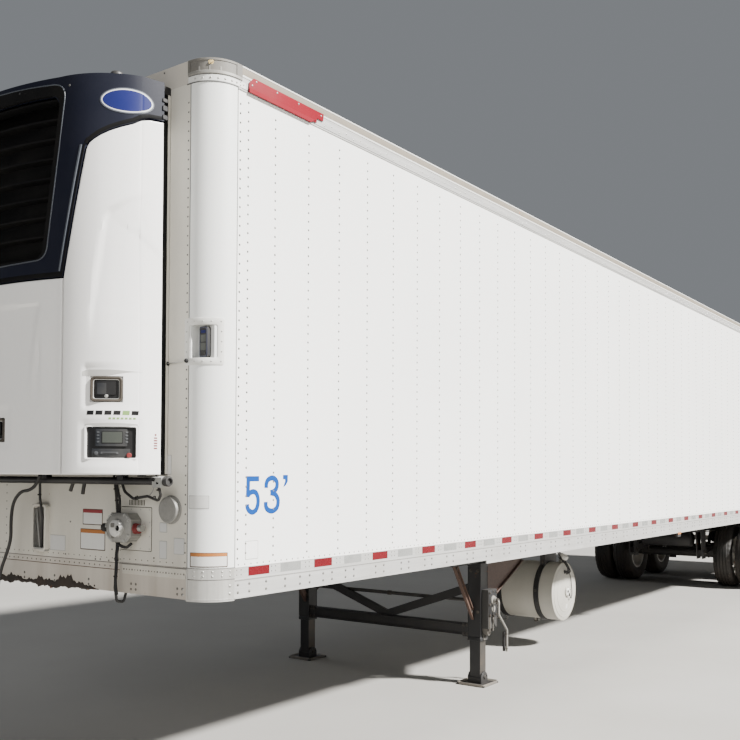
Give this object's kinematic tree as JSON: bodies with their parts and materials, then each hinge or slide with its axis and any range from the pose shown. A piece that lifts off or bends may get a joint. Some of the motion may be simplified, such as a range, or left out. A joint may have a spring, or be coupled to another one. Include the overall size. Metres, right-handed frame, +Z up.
{
  "type": "refrigerated van semi-trailer",
  "caption": "Long refrigerated van semi-trailer with a nose-mounted cooling unit, tandem dual wheels and landing legs, parked without its tractor.",
  "frame": {"origin": "on the ground, under the middle of the trailer's overall length and width", "axes": "+X towards the nose, +Y to the trailer's left (the driver's side), +Z up"},
  "size_m": [16.689, 2.5908, 4.064],
  "materials": {
    "white_sheet": "white prepainted aluminium, weathered",
    "rail_aluminium": "mill aluminium, brushed and dull",
    "white_plastic": "white moulded skin",
    "navy_plastic": "dark navy moulded skin",
    "black_plastic": "black moulded plastic",
    "lamp_plastic": "lamp lenses",
    "dark_steel": "black paint, dusty",
    "grey_steel": "grey paint with rust",
    "steel": "bare steel",
    "tyre_rubber": "worn tread rubber",
    "black_rubber": "black rubber",
    "wheel_paint": "white wheel enamel",
    "stainless": "stainless steel",
    "cast": "cast iron"
  },
  "bodies": {
    "trailer": {"air_springs": "black_rubber", "air_tank": "dark_steel", "axles": "dark_steel", "bogie_frame": "dark_steel", "corner_castings": "rail_aluminium", "corner_posts": "white_sheet", "coupler": "steel", "crossmembers": "rail_aluminium", "dock_bumpers": "black_rubber", "drain_hose": "black_rubber", "floor": "rail_aluminium", "front_rails": "rail_aluminium", "fuel_tank": "rail_aluminium", "lamps": "lamp_plastic", "landing_gear_drive": "grey_steel", "landing_gear_frame": "grey_steel", "landing_legs": "grey_steel", "mud_flaps": "black_rubber", "nose_fittings": "rail_aluminium", "nose_leads": "black_rubber", "nose_wall": "white_sheet", "rear_frame": "stainless", "rear_guard": "grey_steel", "roof": "white_sheet", "side_rails": "rail_aluminium", "side_walls": "white_sheet", "slider_rails": "steel", "status_display": "black_plastic", "suspension_hangers": "dark_steel", "tank_hangers": "dark_steel", "top_rails": "rail_aluminium", "unit_condenser": "rail_aluminium", "unit_engine": "cast", "unit_frame": "dark_steel", "unit_grille": "navy_plastic", "unit_shroud": "navy_plastic"},
    "rear_door_left": {"door_left": "white_sheet", "door_hardware_left": "steel"},
    "rear_door_right": {"door_right": "white_sheet", "door_hardware_right": "steel"},
    "unit_side_door_left": {"unit_door_left": "white_plastic"},
    "unit_side_door_right": {"unit_door_right": "white_plastic"},
    "unit_front_door": {"unit_door_front": "white_plastic"},
    "wheels_front_left": {"tyres_front_left": "tyre_rubber", "wheel_front_left": "wheel_paint"},
    "wheels_front_right": {"tyres_front_right": "tyre_rubber", "wheel_front_right": "wheel_paint"},
    "wheels_rear_left": {"tyres_rear_left": "tyre_rubber", "wheel_rear_left": "wheel_paint"},
    "wheels_rear_right": {"tyres_rear_right": "tyre_rubber", "wheel_rear_right": "wheel_paint"}
  },
  "joints": [
    {"name": "rear_door_left_hinge", "type": "hinge", "parent": "trailer", "child": "rear_door_left", "pos_m": [-8.3315, 1.283, 2.6], "axis": [0, 0, -1], "range_deg": [0, 270]},
    {"name": "rear_door_right_hinge", "type": "hinge", "parent": "trailer", "child": "rear_door_right", "pos_m": [-8.3315, -1.283, 2.6], "axis": [0, 0, 1], "range_deg": [0, 270]},
    {"name": "unit_side_door_left_hinge", "type": "hinge", "parent": "trailer", "child": "unit_side_door_left", "pos_m": [7.9005, 0.965, 2.6], "axis": [0, 0, 1], "range_deg": [0, 110]},
    {"name": "unit_side_door_right_hinge", "type": "hinge", "parent": "trailer", "child": "unit_side_door_right", "pos_m": [7.9005, -0.965, 2.6], "axis": [0, 0, -1], "range_deg": [0, 110]},
    {"name": "unit_front_door_hinge", "type": "hinge", "parent": "trailer", "child": "unit_front_door", "pos_m": [8.2495, -0.596, 2.3], "axis": [0, 0, -1], "range_deg": [0, 90]},
    {"name": "wheels_front_left_spin", "type": "hinge", "parent": "trailer", "child": "wheels_front_left", "pos_m": [-4.3405, 0.984, 0.508], "axis": [0, 1, 0], "continuous": true},
    {"name": "wheels_front_right_spin", "type": "hinge", "parent": "trailer", "child": "wheels_front_right", "pos_m": [-4.3405, -0.984, 0.508], "axis": [0, 1, 0], "continuous": true},
    {"name": "wheels_rear_left_spin", "type": "hinge", "parent": "trailer", "child": "wheels_rear_left", "pos_m": [-5.5855, 0.984, 0.508], "axis": [0, 1, 0], "continuous": true},
    {"name": "wheels_rear_right_spin", "type": "hinge", "parent": "trailer", "child": "wheels_rear_right", "pos_m": [-5.5855, -0.984, 0.508], "axis": [0, 1, 0], "continuous": true}
  ]
}
